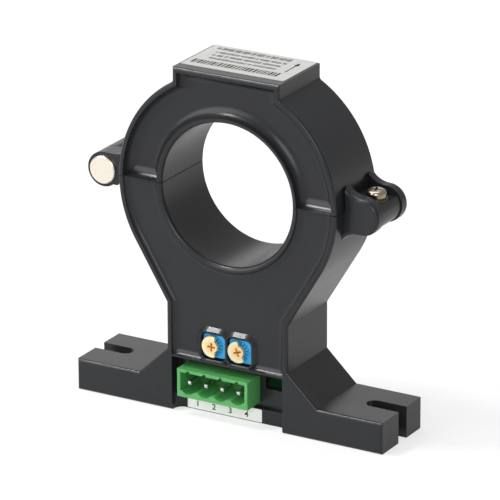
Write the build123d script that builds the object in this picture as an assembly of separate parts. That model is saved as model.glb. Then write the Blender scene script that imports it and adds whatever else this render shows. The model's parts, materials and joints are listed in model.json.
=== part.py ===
from build123d import *
import math
import os

# Split ring Hall effect current sensor. The frame's origin is the bottom centre of the base:
# +X runs along the base, +Y goes to the back of the sensor and +Z is up. Sizes are in mm.

# Housing as a whole
DEPTH = 22.5
BASE_LENGTH = 94.9
FOOT_HEIGHT = 9.0
SPLIT_Z = 64.5
BORE_R = 20.0
RING_R = 33.4
PILLAR_WIDTH = 37.4
PILLAR_TOP_Z = 31.0
GUSSET_RISE = 8.65
GUSSET_RUN = 9.1
HEAD_WIDTH = 32.6
HEAD_FILLET = 1.1

# Walls, rims and rounds
WALL = 2.0
BORE_WALL = 1.8
PANEL_WALL = 1.8
SPLIT_WALL = 1.6
EDGE_ROUND = 0.8
MOUTH_ROUND = 1.2
BACK_CHAMFER = 0.6
RIM_WIDTH = 1.4
LIP_WIDTH = 1.4
SPLIT_RIM = 0.3
LOWER_PANEL_DEPTH = 1.4
LOWER_COVE_R = 2.0
UPPER_PANEL_DEPTH = 3.0
UPPER_COVE_R = 3.2
SEAM = 0.2

# Back covers
COVER_THICKNESS = 1.8
COVER_RIM = 1.1
COVER_GAP = 0.1

# Slots in the feet
SLOT_WIDTH = 4.5
SLOT_DEPTH = 10.7
SLOT_Y = 0.5

# Hinge on the left
HINGE_OFFSET = 6.2
KNUCKLE_R = 4.9
KNUCKLE_WEB_R = 5.8
KNUCKLE_FRONT_Y = -8.6
KNUCKLE_BACK_Y = 9.5
MIDDLE_KNUCKLE = 6.0
KNUCKLE_GAP = 0.25
PIN_R = 2.0
PIN_RUNNING_GAP = 0.05
PIN_SEAT_GAP = 0.02
PIN_HEAD_R = 3.9
PIN_HEAD_THICKNESS = 0.9
PIN_HEAD_CHAMFER = 0.25
PIN_TAIL = 1.5
CLIP_R = 3.4
CLIP_THICKNESS = 0.5
CLIP_GAP = 0.1
CLIP_GROOVE_DEPTH = 0.4
HINGE_FILLET = 3.2

# Clasp on the right
CLASP_OFFSET = 5.0
CLASP_DROP = 0.85
CLASP_R = 5.1
CLASP_INSET = 0.4
CLASP_FRONT_Y = -6.7
CLASP_BACK_Y = 10.0
CHEEK = 3.3
CHEEK_ROUND = 1.0
CHEEK_CLEARANCE = 0.35
CLASP_TOP_FILLET = 6.5
CLASP_BOTTOM_FILLET = 5.5
TONGUE_RISE = 2.8
TONGUE_GAP = 0.25
TONGUE_FILLET = 1.4

# Clasp screw, a 3 mm pan head screw with its two washers
SCREW_R = 1.45
SCREW_HEAD_R = 2.8
SCREW_HEAD_HEIGHT = 1.8
SCREW_ENGAGEMENT = 4.2
SCREW_HOLE_GAP = 0.3
CROSS_LENGTH = 3.2
CROSS_WIDTH = 0.7
CROSS_DEPTH = 1.1
WASHER_R = 3.1
WASHER_THICKNESS = 0.4
SPRING_WASHER_R = 2.6
SPRING_WASHER_THICKNESS = 0.6
SPRING_WASHER_SLIT = 0.5
INSERT_R = 2.6
INSERT_LENGTH = 4.6
INSERT_BORE_GAP = 0.4
INSERT_SEAT_GAP = 0.02

# Bay for the terminals in the front of the pillar
BAY_TOP_Z = 15.7
BAY_FLOOR_Y = -6.3
STRIP_Y = -7.6
BAY_BORDER = 1.5
BAY_COVE = 2.4
BAY_WALL = 1.6
BAY_CEILING = 1.2
BAY_CROWN = 0.5
STRIP_HEIGHT = 4.2
SPARE_GAP = 1.93
SPARE_INSET = 3.5
SPARE_BOTTOM_Z = 9.8

# Terminal header, four poles at the usual pitch
POLES = 4
PITCH = 5.08
HEADER_INSET = 4.27
PIN_Z = 9.3
HEADER_END = 3.33
HEADER_HEIGHT = 8.0
HEADER_BELOW_PIN = 4.0
HEADER_LENGTH = 12.0
HEADER_WALL = 0.9
HEADER_FLOOR = 2.6
HEADER_GAP = 0.15
KEY_WIDTH = 1.3
KEY_DEPTH = 0.8
KEY_LENGTH = 5.0
SCALLOP_WIDTH = 3.8
TERMINAL_PIN = 1.0
TERMINAL_PIN_TAIL = 1.6
TERMINAL_PIN_SETBACK = 0.7
TERMINAL_PIN_FIT = 0.02

# Trimmers and their windows
TRIMMER_X = (-4.45, 3.63)
TRIMMER_Z = 20.5
WINDOW = 7.4
WINDOW_CORNER = 1.5
WINDOW_BEVEL = 0.3
COLLAR_WIDTH = 0.7
COLLAR_CORNER = 2.6
COLLAR_SETBACK = 0.25
COLLAR_TAPER = 40.0
TRIMMER_WIDTH = 6.9
TRIMMER_HEIGHT = 6.4
TRIMMER_LENGTH = 5.2
TRIMMER_CORNER = 0.8
ROTOR_FACE_Y = -10.85
ROTOR_SHIFT = -0.45
ROTOR_R = 3.0
ROTOR_LIFT = 0.4
ROTOR_PLATE = 0.7
HUB_PROUD = 0.1
HUB_R = 1.75
STEM_R = 1.1
STEM_GAP = 0.05
STEM_LENGTH = 1.6
ROTOR_CUT = 0.9
CROSS_SPAN = 2.5
CROSS_CUT = 0.5
SPAN_TURN = 20.0
TICKS = 7
TICK_ARC = 130.0
TICK_IN_R = 1.9
TICK_LENGTH = 1.15
TICK_WIDTH = 0.25
TICK_HEIGHT = 0.25
LEAD_R = 0.3
LEAD_SPREAD = 2.5

# Magnetic core
CORE_SEAT_GAP = 0.2
CORE_OUTER_GAP = 1.8
CORE_FRONT_Y = -5.6
CORE_BACK_Y = 8.4
CORE_END_GAP = 0.05
CORE_WINDOW_GAP = 0.15
AIR_GAP = 2.6

# Circuit board and what it carries
BOARD_FRONT_Y = -1.0
BOARD_THICKNESS = 1.6
BOARD_SIDE_GAP = 0.4
BOARD_BOTTOM_GAP = 0.5
BOARD_TOP_Z = 33.2
POST_R = 2.5
POST_INSET = 5.8
POST_Z = (5.2, 28.3)
BOARD_SCREW_R = 1.1
BOARD_SCREW_HEAD_R = 2.1
BOARD_SCREW_HEAD = 1.4
BOARD_SCREW_LENGTH = 5.0
HALL_THICKNESS = 1.55
HALL_WIDTH = 4.1
HALL_HEIGHT = 3.0
HALL_LEAD = 0.4
HALL_LEAD_PITCH = 1.27
HALL_LEAD_OVERLAP = 2.6
HALL_NOTCH = 0.8
CHIP_SIZE = (4.9, 3.9, 1.5)
CHIP_PLACE = (-5.5, 25.5)
CHIP_LEADS = 4
CHIP_LEAD_PITCH = 1.27
CHIP_LEAD_WIDTH = 0.4
CHIP_LEAD_REACH = 1.0
REGULATOR_SIZE = (6.5, 6.1, 2.3)
REGULATOR_PLACE = (5.2, 27.5)
CAPACITOR_R = 2.6
CAPACITOR_HEIGHT = 5.6
CAPACITOR_INSET = 6.7
CAPACITOR_Z = (13.7, 19.2)
CAPACITOR_BASE = 0.9
RESISTOR_SIZE = (1.25, 2.0, 0.55)
RESISTOR_PITCH = 2.6
RESISTOR_COUNT = 5
RESISTOR_INSET = 4.3
RESISTOR_Z = 15.4
CAPACITOR_CHAMFER = 0.4

# Labels
LABEL_THICKNESS = 0.15
TOP_LABEL_SIDE_MARGIN = 0.6
TOP_LABEL_BACK_MARGIN = 0.5
TOP_LABEL_WIDTH = 18.4
TERMINAL_LABEL_START = 0.13
TERMINAL_LABEL_END = 1.43
TERMINAL_LABEL_MARGIN = 0.25
LABEL_CORNER = 0.3

# Places worked out from the sizes above
FRONT = -DEPTH / 2
BACK = DEPTH / 2
LOWER_PANEL_Y = FRONT + LOWER_PANEL_DEPTH
UPPER_PANEL_Y = FRONT + UPPER_PANEL_DEPTH
COVER_Y = BACK - COVER_THICKNESS
HEAD_TOP_Z = SPLIT_Z + RING_R
LIP_R = BORE_R + LIP_WIDTH
HINGE_X = -RING_R - HINGE_OFFSET
CLASP_X = RING_R + CLASP_OFFSET
CLASP_Z = SPLIT_Z - CLASP_DROP
TONGUE_TOP_Z = CLASP_Z + TONGUE_RISE
CAVITY_R = BORE_R + BORE_WALL
CORE_IN_R = CAVITY_R + CORE_SEAT_GAP
CORE_OUT_R = RING_R - WALL - CORE_OUTER_GAP
CORE_MID_R = (CORE_IN_R + CORE_OUT_R) / 2
BOARD_BACK_Y = BOARD_FRONT_Y + BOARD_THICKNESS
BOARD_HALF = PILLAR_WIDTH / 2 - WALL - BOARD_SIDE_GAP
POST_X = PILLAR_WIDTH / 2 - POST_INSET
FIRST_PIN_X = -PILLAR_WIDTH / 2 + HEADER_INSET + HEADER_END
HEADER_FRONT_Y = BOARD_FRONT_Y - HEADER_LENGTH
HEADER_X = (FIRST_PIN_X - HEADER_END, FIRST_PIN_X + (POLES - 1) * PITCH + HEADER_END)
HEADER_Z = (PIN_Z - HEADER_BELOW_PIN, PIN_Z - HEADER_BELOW_PIN + HEADER_HEIGHT)
PIN_XS = [FIRST_PIN_X + i * PITCH for i in range(POLES)]
SPARE_X = (HEADER_X[1] + SPARE_GAP, PILLAR_WIDTH / 2 - SPARE_INSET)
TERMINAL_LABEL_X = (HEADER_X[0] + TERMINAL_LABEL_START, HEADER_X[1] + TERMINAL_LABEL_END)
SCREW_Y = (CLASP_FRONT_Y + CLASP_BACK_Y) / 2
TONGUE_Y = (CLASP_FRONT_Y + CHEEK + TONGUE_GAP, CLASP_BACK_Y - CHEEK - TONGUE_GAP)
KNUCKLE_MID_Y = (KNUCKLE_FRONT_Y + KNUCKLE_BACK_Y) / 2
MIDDLE_Y = (KNUCKLE_MID_Y - MIDDLE_KNUCKLE / 2, KNUCKLE_MID_Y + MIDDLE_KNUCKLE / 2)
TRIMMER_FACE_Y = ROTOR_FACE_Y + ROTOR_PLATE + ROTOR_LIFT
TRIMMER_BACK_Y = TRIMMER_FACE_Y + TRIMMER_LENGTH
POSTS = ((-POST_X, POST_Z[1]), (POST_X, POST_Z[1]), (POST_X, POST_Z[0]))
FAR = 3 * BASE_LENGTH


def block(x0, x1, y0, y1, z0, z1):
    """Box between two opposite corners."""
    centre = Pos((x0 + x1) / 2, (y0 + y1) / 2, (z0 + z1) / 2)
    return centre * Box(x1 - x0, y1 - y0, z1 - z0)


def flat(x0, x1, z0, z1):
    """Rectangle in the front view, between two opposite corners."""
    return Pos((x0 + x1) / 2, (z0 + z1) / 2) * Rectangle(x1 - x0, z1 - z0)


def disc(x, z, radius):
    """Circle in the front view."""
    return Pos(x, z) * Circle(radius)


def prism(profile, y_front, y_back):
    """Front view profile made solid between two depths."""
    return extrude(Plane.XZ.offset(-y_back) * profile, y_back - y_front)


def rod(x, z, radius, y_front, y_back):
    """Round bar along Y."""
    return prism(disc(x, z, radius), y_front, y_back)


def post(x, y, radius, z_bottom, z_top):
    """Round bar along Z."""
    return Pos(x, y, (z_bottom + z_top) / 2) * Cylinder(radius, z_top - z_bottom)


def corner_fill(x, z, radius, side_x, side_z):
    """Concave fillet for the corner at x, z that opens towards side_x and side_z."""
    square = flat(*sorted((x, x + side_x * radius)), *sorted((z, z + side_z * radius)))
    return square - disc(x + side_x * radius, z + side_z * radius, radius)


def edges_at(part, y):
    """Edges that lie in the plane at depth y."""
    near = 1e-4
    return part.edges().filter_by(lambda e: abs(e.bounding_box().min.Y - y) < near
                                  and abs(e.bounding_box().max.Y - y) < near)


def off_split(edges):
    """Leaves out the edges along the split between the halves."""
    return edges.filter_by(lambda e: e.bounding_box().size.Z > 1e-4
                           or abs(e.center().Z - SPLIT_Z) > 1e-3)


# Outlines in the front view

def ring_outline(radius):
    return disc(0, SPLIT_Z, radius)


def below_split(profile, margin=0.0):
    return profile - flat(-FAR, FAR, SPLIT_Z - margin, FAR)


def above_split(profile, margin=0.0):
    return profile - flat(-FAR, FAR, -FAR, SPLIT_Z + margin)


def pillar_outline(inset=0.0):
    """Pillar that flares out along two tangents to the lower half of the ring."""
    radius = RING_R - inset
    half = PILLAR_WIDTH / 2 - inset
    drop = SPLIT_Z - PILLAR_TOP_Z
    # the corner under each flare moves up as the outline is inset, so the flare keeps its slope
    turn = math.acos(RING_R / math.hypot(PILLAR_WIDTH / 2, drop))
    slope = math.atan2(-drop, PILLAR_WIDTH / 2) + turn
    corner_z = SPLIT_Z + (radius - half * math.cos(slope)) / math.sin(slope)
    touch = (radius * math.cos(slope), SPLIT_Z + radius * math.sin(slope))
    points = [(-half, 0), (half, 0), (half, corner_z), touch,
              (-touch[0], touch[1]), (-half, corner_z)]
    return Polygon(*points, align=None) + below_split(ring_outline(radius))


def base_outline():
    """Base with its two feet, and the gussets that brace the pillar."""
    half = PILLAR_WIDTH / 2
    feet = flat(-BASE_LENGTH / 2, BASE_LENGTH / 2, 0, FOOT_HEIGHT)
    brace = Polygon((-half - GUSSET_RUN, FOOT_HEIGHT), (half + GUSSET_RUN, FOOT_HEIGHT),
                    (half, FOOT_HEIGHT + GUSSET_RISE), (-half, FOOT_HEIGHT + GUSSET_RISE),
                    align=None)
    return feet + brace


def head_outline(inset=0.0):
    """Upper half of the ring with the flat head that carries the label."""
    half = HEAD_WIDTH / 2 - inset
    head = flat(-half, half, SPLIT_Z, HEAD_TOP_Z - inset)
    return above_split(ring_outline(RING_R - inset)) + head


def core_outline():
    return ring_outline(CORE_OUT_R) - ring_outline(CORE_IN_R)


def recess(profile, depth, cove_r):
    """Panel recess in the front face, with a cove all round its floor."""
    cutter = prism(profile, FRONT - 1, FRONT + depth)
    return fillet(edges_at(cutter, FRONT + depth), cove_r)


def soften_rims(body):
    """Rounds the rims of the front face and breaks those of the back face."""
    body = fillet(off_split(edges_at(body, FRONT)), EDGE_ROUND)
    return chamfer(off_split(edges_at(body, BACK)), BACK_CHAMFER)


def cut_bore(body):
    """Cuts the bore, with a round at its front mouth and a chamfer at the back."""
    body -= prism(ring_outline(BORE_R), FRONT - 1, BACK + 1)
    for y, soften, size in ((FRONT, fillet, MOUTH_ROUND), (BACK, chamfer, BACK_CHAMFER)):
        mouth = edges_at(body, y).filter_by(lambda e: e.geom_type == GeomType.CIRCLE
                                            and abs(e.radius - BORE_R) < 1e-3)
        body = soften(mouth, size)
    return body


# Hinge and clasp shapes in the front view

def upper_knuckle_outline():
    """Knuckle that swings with the upper half, blended up into the ring."""
    eye = disc(HINGE_X, SPLIT_Z, KNUCKLE_R)
    wall_x = -RING_R + WALL / 2
    top_z = SPLIT_Z + KNUCKLE_R
    arm = flat(HINGE_X, wall_x, SPLIT_Z, top_z)
    heel = flat(HINGE_X, HINGE_X + KNUCKLE_WEB_R, SPLIT_Z - KNUCKLE_R + 1, SPLIT_Z)
    blend_x = -math.sqrt(RING_R ** 2 - (KNUCKLE_R + HINGE_FILLET) ** 2)
    blend = corner_fill(blend_x, top_z, HINGE_FILLET, -1, 1)
    blend = blend + flat(blend_x, blend_x + WALL / 2, SPLIT_Z, top_z + HINGE_FILLET)
    return eye + arm + (heel & disc(HINGE_X, SPLIT_Z, KNUCKLE_WEB_R)) + blend


def lower_knuckle_outline():
    """Knuckle of the lower half, the mirror image of the upper ones without their heel."""
    eye = disc(HINGE_X, SPLIT_Z, KNUCKLE_R)
    wall_x = -RING_R + WALL / 2
    bottom_z = SPLIT_Z - KNUCKLE_R
    arm = flat(HINGE_X, wall_x, bottom_z, SPLIT_Z)
    blend_x = -math.sqrt(RING_R ** 2 - (KNUCKLE_R + HINGE_FILLET) ** 2)
    blend = corner_fill(blend_x, bottom_z, HINGE_FILLET, -1, -1)
    blend = blend + flat(blend_x, blend_x + WALL / 2, bottom_z - HINGE_FILLET, SPLIT_Z)
    return eye + arm + blend


def clasp_lower_outline(inset=0.0):
    """Lower part of the lobe, blended down into the lower half of the ring."""
    bottom_z = CLASP_Z - CLASP_R
    reach = SPLIT_Z - bottom_z + CLASP_BOTTOM_FILLET
    blend_x = math.sqrt(RING_R ** 2 - reach ** 2)
    lobe = disc(CLASP_X, CLASP_Z, CLASP_R - inset)
    arm = flat(blend_x - inset, CLASP_X, bottom_z + inset, SPLIT_Z)
    blend = corner_fill(blend_x - inset, bottom_z + inset, CLASP_BOTTOM_FILLET + inset, 1, -1)
    tip = flat(-FAR, FAR, -FAR, bottom_z - 0.75 * CLASP_BOTTOM_FILLET)
    return below_split(lobe + arm + blend) - ring_outline(RING_R - WALL / 2) - tip


def cheek_outline():
    """Side cheek of the clasp: a round lobe that blends up beside the ring and down into it."""
    top_z = CLASP_Z + CLASP_R
    lobe = disc(CLASP_X, CLASP_Z, CLASP_R)
    arm = flat(RING_R - WALL / 2, CLASP_X, SPLIT_Z, top_z)
    horn = corner_fill(CLASP_X - CLASP_TOP_FILLET, top_z, CLASP_TOP_FILLET, 1, 1)
    tip = flat(-FAR, FAR, top_z + 0.75 * CLASP_TOP_FILLET, FAR)
    return above_split(lobe + arm + horn) - tip + clasp_lower_outline()


def tongue_outline():
    """Tongue of the upper half between the cheeks, flat where the screw's washer sits and
    blended up into the ring."""
    lobe = disc(CLASP_X, CLASP_Z, CLASP_R - CLASP_INSET)
    arm = flat(RING_R - WALL / 2, CLASP_X, SPLIT_Z, TONGUE_TOP_Z)
    tongue = above_split(lobe + arm) - flat(-FAR, FAR, TONGUE_TOP_Z, FAR)
    blend_x = math.sqrt(RING_R ** 2 - (TONGUE_TOP_Z + TONGUE_FILLET - SPLIT_Z) ** 2)
    blend = corner_fill(blend_x, TONGUE_TOP_Z, TONGUE_FILLET, 1, 1)
    backing = flat(blend_x - WALL / 2, blend_x, SPLIT_Z, TONGUE_TOP_Z + TONGUE_FILLET)
    return tongue + blend + backing


def make_cheek(y0, y1, outer_y):
    """One cheek with the rim of its outer face rounded, clear of the upper half as that swings
    up about the hinge."""
    cheek = prism(cheek_outline(), y0, y1)
    rim = edges_at(cheek, outer_y).filter_by(lambda e: e.geom_type == GeomType.CIRCLE
                                             and e.radius < RING_R / 2)
    cheek = fillet(rim, CHEEK_ROUND)
    swing = disc(HINGE_X, SPLIT_Z, RING_R - HINGE_X + CHEEK_CLEARANCE)
    return cheek - prism(above_split(swing), FRONT, BACK)


def rounded_square(x, z, width, height, corner):
    return Pos(x, z) * RectangleRounded(width, height, corner)


def plane_facing_front(y, x=0.0, z=0.0):
    """Plane at depth y that faces the front, with its origin at x, z."""
    return Plane(origin=(x, y, z), x_dir=(1, 0, 0), z_dir=(0, -1, 0))


# Housing

def lower_cover_outline(gap=0.0):
    shape = pillar_outline(COVER_RIM + gap) - ring_outline(CAVITY_R - BORE_WALL / 2 + gap)
    shape = shape - flat(-FAR, FAR, -FAR, COVER_RIM + gap)
    return below_split(shape, COVER_RIM + gap)


def upper_cover_outline(gap=0.0):
    shape = head_outline(COVER_RIM + gap) - ring_outline(CAVITY_R - BORE_WALL / 2 + gap)
    return above_split(shape, COVER_RIM + gap)


def core_windows(side):
    """Openings in a half's split wall for the two end faces of its core, on the side of the
    split that side gives."""
    opening = None
    z0, z1 = sorted((SPLIT_Z - side * 0.1, SPLIT_Z + side * (SPLIT_WALL + 0.1)))
    for x0, x1 in ((CORE_IN_R, CORE_OUT_R), (-CORE_OUT_R, -CORE_IN_R)):
        hole = block(x0 - CORE_WINDOW_GAP, x1 + CORE_WINDOW_GAP,
                     CORE_FRONT_Y - CORE_WINDOW_GAP, CORE_BACK_Y + CORE_WINDOW_GAP, z0, z1)
        opening = hole if opening is None else opening + hole
    return opening


def make_lower_housing():
    outline = base_outline() + below_split(pillar_outline())
    body = soften_rims(prism(outline, FRONT, BACK))
    body += prism(lower_knuckle_outline(), *MIDDLE_Y)
    body += make_cheek(CLASP_FRONT_Y, CLASP_FRONT_Y + CHEEK, CLASP_FRONT_Y)
    body += make_cheek(CLASP_BACK_Y - CHEEK, CLASP_BACK_Y, CLASP_BACK_Y)
    body += prism(clasp_lower_outline(CLASP_INSET), CLASP_FRONT_Y + CHEEK, CLASP_BACK_Y - CHEEK)
    body = cut_bore(body)
    # recessed panel, from the crown over the terminal bay up to where it runs out at the split
    panel = pillar_outline(RIM_WIDTH) + ring_outline(RING_R - RIM_WIDTH) - ring_outline(LIP_R)
    panel = panel - flat(-FAR, FAR, SPLIT_Z + 3 * LOWER_COVE_R, FAR)
    panel = panel - flat(-FAR, FAR, -FAR, BAY_TOP_Z + BAY_CROWN)
    body -= recess(panel, LOWER_PANEL_DEPTH, LOWER_COVE_R)
    # raised collars round the trimmer windows
    for x in TRIMMER_X:
        size = WINDOW + 2 * COLLAR_WIDTH
        rise = LOWER_PANEL_DEPTH - COLLAR_SETBACK
        spread = 2 * rise * math.tan(math.radians(COLLAR_TAPER))
        foot = RectangleRounded(size + spread, size + spread, COLLAR_CORNER + spread / 2)
        collar = extrude(plane_facing_front(LOWER_PANEL_Y, x, TRIMMER_Z) * foot, rise,
                         taper=COLLAR_TAPER)
        collar -= block(-FAR, FAR, FRONT - 1, BACK, -FAR, BAY_TOP_Z)
        body += collar
    # cavity for the core and the board
    cavity = below_split(pillar_outline(WALL) - ring_outline(CAVITY_R), SPLIT_WALL)
    front_part = cavity - flat(-FAR, FAR, -FAR, BAY_TOP_Z + BAY_CEILING)
    body -= prism(front_part, LOWER_PANEL_Y + PANEL_WALL, COVER_Y + 0.1)
    body -= prism(cavity - flat(-FAR, FAR, -FAR, WALL), BAY_FLOOR_Y + BAY_WALL, COVER_Y + 0.1)
    body -= prism(lower_cover_outline(), COVER_Y, BACK + 1)
    body -= core_windows(-1)
    # terminal bay, the label strip under it, and the openings in its floor
    half = PILLAR_WIDTH / 2 - BAY_BORDER
    for floor_y, z0, z1 in ((STRIP_Y, -1, STRIP_HEIGHT), (BAY_FLOOR_Y, STRIP_HEIGHT, BAY_TOP_Z)):
        bay = block(-half, half, FRONT - 1, floor_y, z0, z1)
        body -= fillet(edges_at(bay, floor_y).filter_by(Axis.Z), BAY_COVE)
    inner_y = BAY_FLOOR_Y + BAY_WALL + 0.1
    body -= block(HEADER_X[0] - HEADER_GAP, HEADER_X[1] + HEADER_GAP, BAY_FLOOR_Y - 1, inner_y,
                  HEADER_Z[0] - HEADER_GAP, HEADER_Z[1] + HEADER_GAP)
    body -= block(SPARE_X[0], SPARE_X[1], BAY_FLOOR_Y - 1, inner_y, SPARE_BOTTOM_Z, BAY_TOP_Z)
    # windows for the trimmers
    for x in TRIMMER_X:
        hole = rounded_square(x, TRIMMER_Z, WINDOW, WINDOW, WINDOW_CORNER)
        body -= prism(hole, FRONT - 1, LOWER_PANEL_Y + PANEL_WALL + 0.1)
        mouth = plane_facing_front(FRONT + COLLAR_SETBACK + WINDOW_BEVEL, x, TRIMMER_Z)
        square = RectangleRounded(WINDOW, WINDOW, WINDOW_CORNER)
        body -= extrude(mouth * square, WINDOW_BEVEL, taper=-45)
    # posts for the board, with pilot holes for its screws
    for x, z in POSTS:
        seat_y = LOWER_PANEL_Y if z > BAY_TOP_Z else BAY_FLOOR_Y
        stem = rod(x, z, POST_R, seat_y + PANEL_WALL / 2, BOARD_FRONT_Y)
        body += stem
        body -= rod(x, z, BOARD_SCREW_R, BOARD_BACK_Y - BOARD_SCREW_LENGTH - 0.3, BOARD_FRONT_Y + 1)
    # hinge bore, seat of the threaded insert, and the slots in the feet
    body -= rod(HINGE_X, SPLIT_Z, PIN_R + PIN_RUNNING_GAP, FRONT, BACK)
    body -= post(CLASP_X, SCREW_Y, INSERT_R + INSERT_SEAT_GAP, SPLIT_Z - INSERT_LENGTH,
                 SPLIT_Z + 1)
    for side in (-1, 1):
        end = side * (BASE_LENGTH / 2 - SLOT_DEPTH + SLOT_WIDTH / 2)
        body -= post(end, SLOT_Y, SLOT_WIDTH / 2, -1, FOOT_HEIGHT + 1)
        x0, x1 = sorted((end, side * FAR))
        body -= block(x0, x1, SLOT_Y - SLOT_WIDTH / 2, SLOT_Y + SLOT_WIDTH / 2,
                      -1, FOOT_HEIGHT + 1)
    return body


def make_upper_housing():
    body = prism(head_outline(), FRONT, BACK)
    corner_z = SPLIT_Z + math.sqrt(RING_R ** 2 - (HEAD_WIDTH / 2) ** 2)
    corners = body.edges().filter_by(Axis.Y).filter_by(lambda e: abs(e.center().Z - corner_z) < 0.1)
    body = soften_rims(fillet(corners, HEAD_FILLET))
    knuckle = upper_knuckle_outline()
    body += prism(knuckle, KNUCKLE_FRONT_Y, MIDDLE_Y[0] - KNUCKLE_GAP)
    body += prism(knuckle, MIDDLE_Y[1] + KNUCKLE_GAP, KNUCKLE_BACK_Y)
    body += prism(tongue_outline(), *TONGUE_Y)
    body = cut_bore(body)
    panel = above_split(head_outline(RIM_WIDTH), SPLIT_RIM) - ring_outline(LIP_R)
    body -= recess(panel, UPPER_PANEL_DEPTH, UPPER_COVE_R)
    body -= block(-RING_R - SEAM, RING_R + SEAM, FRONT - 1, BACK + 1, SPLIT_Z - 1, SPLIT_Z + SEAM)
    cavity = above_split(head_outline(WALL) - ring_outline(CAVITY_R), SPLIT_WALL)
    body -= prism(cavity, UPPER_PANEL_Y + PANEL_WALL, COVER_Y + 0.1)
    body -= prism(upper_cover_outline(), COVER_Y, BACK + 1)
    body -= core_windows(1)
    body -= rod(HINGE_X, SPLIT_Z, PIN_R + PIN_SEAT_GAP, FRONT, BACK)
    body -= post(CLASP_X, SCREW_Y, SCREW_R + SCREW_HOLE_GAP, SPLIT_Z - 1, TONGUE_TOP_Z + 1)
    return body


def make_lower_back_cover():
    return prism(lower_cover_outline(COVER_GAP), COVER_Y, BACK)


def make_upper_back_cover():
    return prism(upper_cover_outline(COVER_GAP), COVER_Y, BACK)


# Hinge and clasp hardware

def make_hinge_pin():
    tail_y = KNUCKLE_BACK_Y + PIN_TAIL
    head = rod(HINGE_X, SPLIT_Z, PIN_HEAD_R, KNUCKLE_FRONT_Y - PIN_HEAD_THICKNESS, KNUCKLE_FRONT_Y)
    head = chamfer(edges_at(head, KNUCKLE_FRONT_Y - PIN_HEAD_THICKNESS), PIN_HEAD_CHAMFER)
    pin = head + rod(HINGE_X, SPLIT_Z, PIN_R, KNUCKLE_FRONT_Y, tail_y)
    clip_y = KNUCKLE_BACK_Y + CLIP_GAP
    groove = rod(HINGE_X, SPLIT_Z, PIN_HEAD_R, clip_y - CLIP_GAP / 2,
                 clip_y + CLIP_THICKNESS + CLIP_GAP / 2)
    groove -= rod(HINGE_X, SPLIT_Z, PIN_R - CLIP_GROOVE_DEPTH, FRONT, BACK)
    return pin - groove


def make_hinge_clip():
    """Snap ring with three lobes that grips the groove near the pin's tail."""
    inner = PIN_R - CLIP_GROOVE_DEPTH + PIN_SEAT_GAP
    ring = disc(HINGE_X, SPLIT_Z, CLIP_R) - disc(HINGE_X, SPLIT_Z, PIN_R + CLIP_GROOVE_DEPTH)
    for turn in (0, 120, 240):
        lobe = Pos(HINGE_X, SPLIT_Z) * Rot(0, 0, turn + 90) * Pos(CLIP_R / 2, 0)
        ring = ring + lobe * Rectangle(CLIP_R, PIN_R * 0.7)
    ring = ring & disc(HINGE_X, SPLIT_Z, CLIP_R)
    ring = ring - disc(HINGE_X, SPLIT_Z, inner)
    mouth = flat(HINGE_X - inner, HINGE_X + inner, SPLIT_Z - 2 * CLIP_R, SPLIT_Z)
    clip_y = KNUCKLE_BACK_Y + CLIP_GAP
    return prism(ring - mouth, clip_y, clip_y + CLIP_THICKNESS)


def head_under_z():
    return TONGUE_TOP_Z + WASHER_THICKNESS + SPRING_WASHER_THICKNESS


def make_clamp_screw():
    under = head_under_z()
    shank = post(CLASP_X, SCREW_Y, SCREW_R, SPLIT_Z - SCREW_ENGAGEMENT, under)
    head = post(CLASP_X, SCREW_Y, SCREW_HEAD_R, under, under + SCREW_HEAD_HEIGHT)
    head = fillet(head.edges().group_by(Axis.Z)[-1], SCREW_HEAD_HEIGHT * 0.6)
    screw = head + shank
    screw = chamfer(screw.edges().group_by(Axis.Z)[0], SCREW_R * 0.3)
    for turn in (20, 110):
        arm = Pos(CLASP_X, SCREW_Y, under + SCREW_HEAD_HEIGHT) * Rot(0, 0, turn)
        screw -= arm * Box(CROSS_LENGTH, CROSS_WIDTH, 2 * CROSS_DEPTH)
    return screw


def make_flat_washer():
    top = TONGUE_TOP_Z + WASHER_THICKNESS
    ring = post(CLASP_X, SCREW_Y, WASHER_R, TONGUE_TOP_Z, top)
    return ring - post(CLASP_X, SCREW_Y, SCREW_R + INSERT_SEAT_GAP, TONGUE_TOP_Z - 1, top + 1)


def make_spring_washer():
    z0 = TONGUE_TOP_Z + WASHER_THICKNESS
    ring = post(CLASP_X, SCREW_Y, SPRING_WASHER_R, z0, head_under_z())
    ring -= post(CLASP_X, SCREW_Y, SCREW_R + INSERT_SEAT_GAP, z0 - 1, head_under_z() + 1)
    slit = Pos(CLASP_X, SCREW_Y, z0) * Rot(0, 25, 0) * Pos(0, -SPRING_WASHER_R, 0)
    return ring - slit * Box(SPRING_WASHER_SLIT, 2 * SPRING_WASHER_R, 4)


def make_clamp_insert():
    """Threaded insert in the floor of the clasp; its thread is drawn as a plain bore."""
    bottom = SPLIT_Z - INSERT_LENGTH
    sleeve = post(CLASP_X, SCREW_Y, INSERT_R, bottom, SPLIT_Z)
    sleeve = chamfer(sleeve.edges().group_by(Axis.Z)[0], INSERT_BORE_GAP / 2)
    return sleeve - post(CLASP_X, SCREW_Y, SCREW_R + INSERT_BORE_GAP, bottom - 1, SPLIT_Z + 1)


# Core and Hall element

def make_core_upper():
    ring = above_split(core_outline(), CORE_END_GAP)
    return prism(ring, CORE_FRONT_Y, CORE_BACK_Y)


def make_core_lower(side):
    """Quarter of the core on one side of the air gap."""
    ring = below_split(core_outline(), CORE_END_GAP)
    away = flat(*sorted((side * AIR_GAP / 2, -side * FAR)), -FAR, FAR)
    return prism(ring - away, CORE_FRONT_Y, CORE_BACK_Y)


def hall_place():
    return Pos(0, BOARD_FRONT_Y + BOARD_THICKNESS / 2, SPLIT_Z - CORE_MID_R)


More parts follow.
